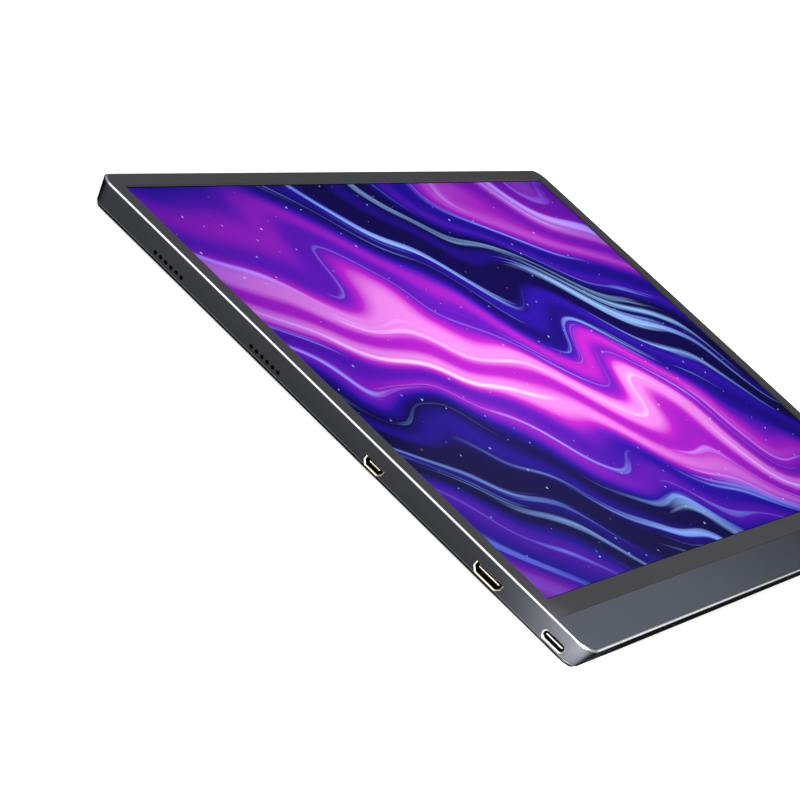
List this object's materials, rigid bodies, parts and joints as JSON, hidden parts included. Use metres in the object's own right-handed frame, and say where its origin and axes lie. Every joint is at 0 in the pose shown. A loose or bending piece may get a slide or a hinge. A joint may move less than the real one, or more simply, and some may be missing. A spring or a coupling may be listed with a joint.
{
  "type": "portable monitor",
  "caption": "Slim flat-panel portable monitor with sloped metal walls, a narrow bezel, side sockets, drilled speaker holes and rocker keys.",
  "frame": {"origin": "middle of the back face, on the surface that the monitor lies on", "axes": "+X along the screen's width to its right, +Y up the screen, +Z out of the screen"},
  "size_m": [0.3616, 0.224, 0.0096],
  "materials": {
    "case_aluminium": "bead-blasted and dark anodised, with a diamond-cut rim",
    "strip_aluminium": "fine brushed, blue-grey anodised",
    "bezel_plastic": "fine moulded texture",
    "screen_glass": "smooth semi-gloss polarised face",
    "inner_glass": "clear sheet",
    "clear_plastic": "clear acrylic and film",
    "white_film": "white reflective film",
    "tray_metal": "pressed sheet",
    "black_plastic": "moulded",
    "tape": "double-sided foam tape",
    "foam": "closed-cell foam",
    "board": "solder-masked laminate",
    "chip": "moulded packages",
    "flat_cable": "polyimide film",
    "socket_steel": "drawn and plated",
    "gilt_steel": "drawn and gold-flashed",
    "contact_metal": "gold-flashed strip",
    "key_aluminium": "satin anodised",
    "speaker_cone": "pressed cone",
    "magnet_steel": "plated plate and magnet",
    "screw_steel": "blackened",
    "lead_rubber": "insulated wire"
  },
  "bodies": {
    "case": {"bezel_tape": "tape", "board_link_cable": "flat_cable", "chin_strip": "strip_aluminium", "chin_tape": "tape", "colour_filter_glass": "inner_glass", "device_socket_contacts": "contact_metal", "device_socket_shell": "gilt_steel", "device_socket_tongue": "black_plastic", "diffuser_film": "clear_plastic", "display_cable": "flat_cable", "drive_board": "board", "drive_board_chips": "chip", "driver_films": "flat_cable", "front_bezel": "bezel_plastic", "front_polariser": "screen_glass", "led_bar": "board", "light_guide": "clear_plastic", "main_board": "board", "main_board_chips": "chip", "oval_socket_shell_left": "socket_steel", "oval_socket_shell_right": "socket_steel", "oval_socket_tongue_left": "black_plastic", "oval_socket_tongue_right": "black_plastic", "panel_gasket": "foam", "panel_mould_frame": "black_plastic", "panel_tapes": "tape", "panel_tray": "tray_metal", "power_board": "board", "power_board_chips": "chip", "prism_films": "clear_plastic", "rear_polariser": "clear_plastic", "rear_shell": "case_aluminium", "reflector_sheet": "white_film", "rocker_bracket_lower": "black_plastic", "rocker_bracket_upper": "black_plastic", "screws": "screw_steel", "shield_can": "socket_steel", "speaker_box_left_lower": "black_plastic", "speaker_box_left_upper": "black_plastic", "speaker_box_right_lower": "black_plastic", "speaker_box_right_upper": "black_plastic", "speaker_diaphragm_left_lower": "speaker_cone", "speaker_diaphragm_left_upper": "speaker_cone", "speaker_diaphragm_right_lower": "speaker_cone", "speaker_diaphragm_right_upper": "speaker_cone", "speaker_gaskets": "foam", "speaker_leads_left": "lead_rubber", "speaker_leads_right": "lead_rubber", "speaker_yoke_left_lower": "magnet_steel", "speaker_yoke_left_upper": "magnet_steel", "speaker_yoke_right_lower": "magnet_steel", "speaker_yoke_right_upper": "magnet_steel", "tact_switches": "black_plastic", "tft_glass": "inner_glass", "video_socket_contacts": "contact_metal", "video_socket_shell": "gilt_steel", "video_socket_tongue": "black_plastic"},
    "upper_rocker": {"rocker_key_upper": "key_aluminium"},
    "lower_rocker": {"rocker_key_lower": "key_aluminium"}
  },
  "joints": [
    {"name": "upper_rocker_tilt", "type": "hinge", "parent": "case", "child": "upper_rocker", "pos_m": [0.17545, -0.0178, 0.0051], "axis": [0, 0, 1], "range_deg": [-1.5, 1.5], "stiffness_Nm_per_rad": 0.1},
    {"name": "lower_rocker_tilt", "type": "hinge", "parent": "case", "child": "lower_rocker", "pos_m": [0.17545, -0.0644, 0.0051], "axis": [0, 0, 1], "range_deg": [-1.5, 1.5], "stiffness_Nm_per_rad": 0.1}
  ]
}
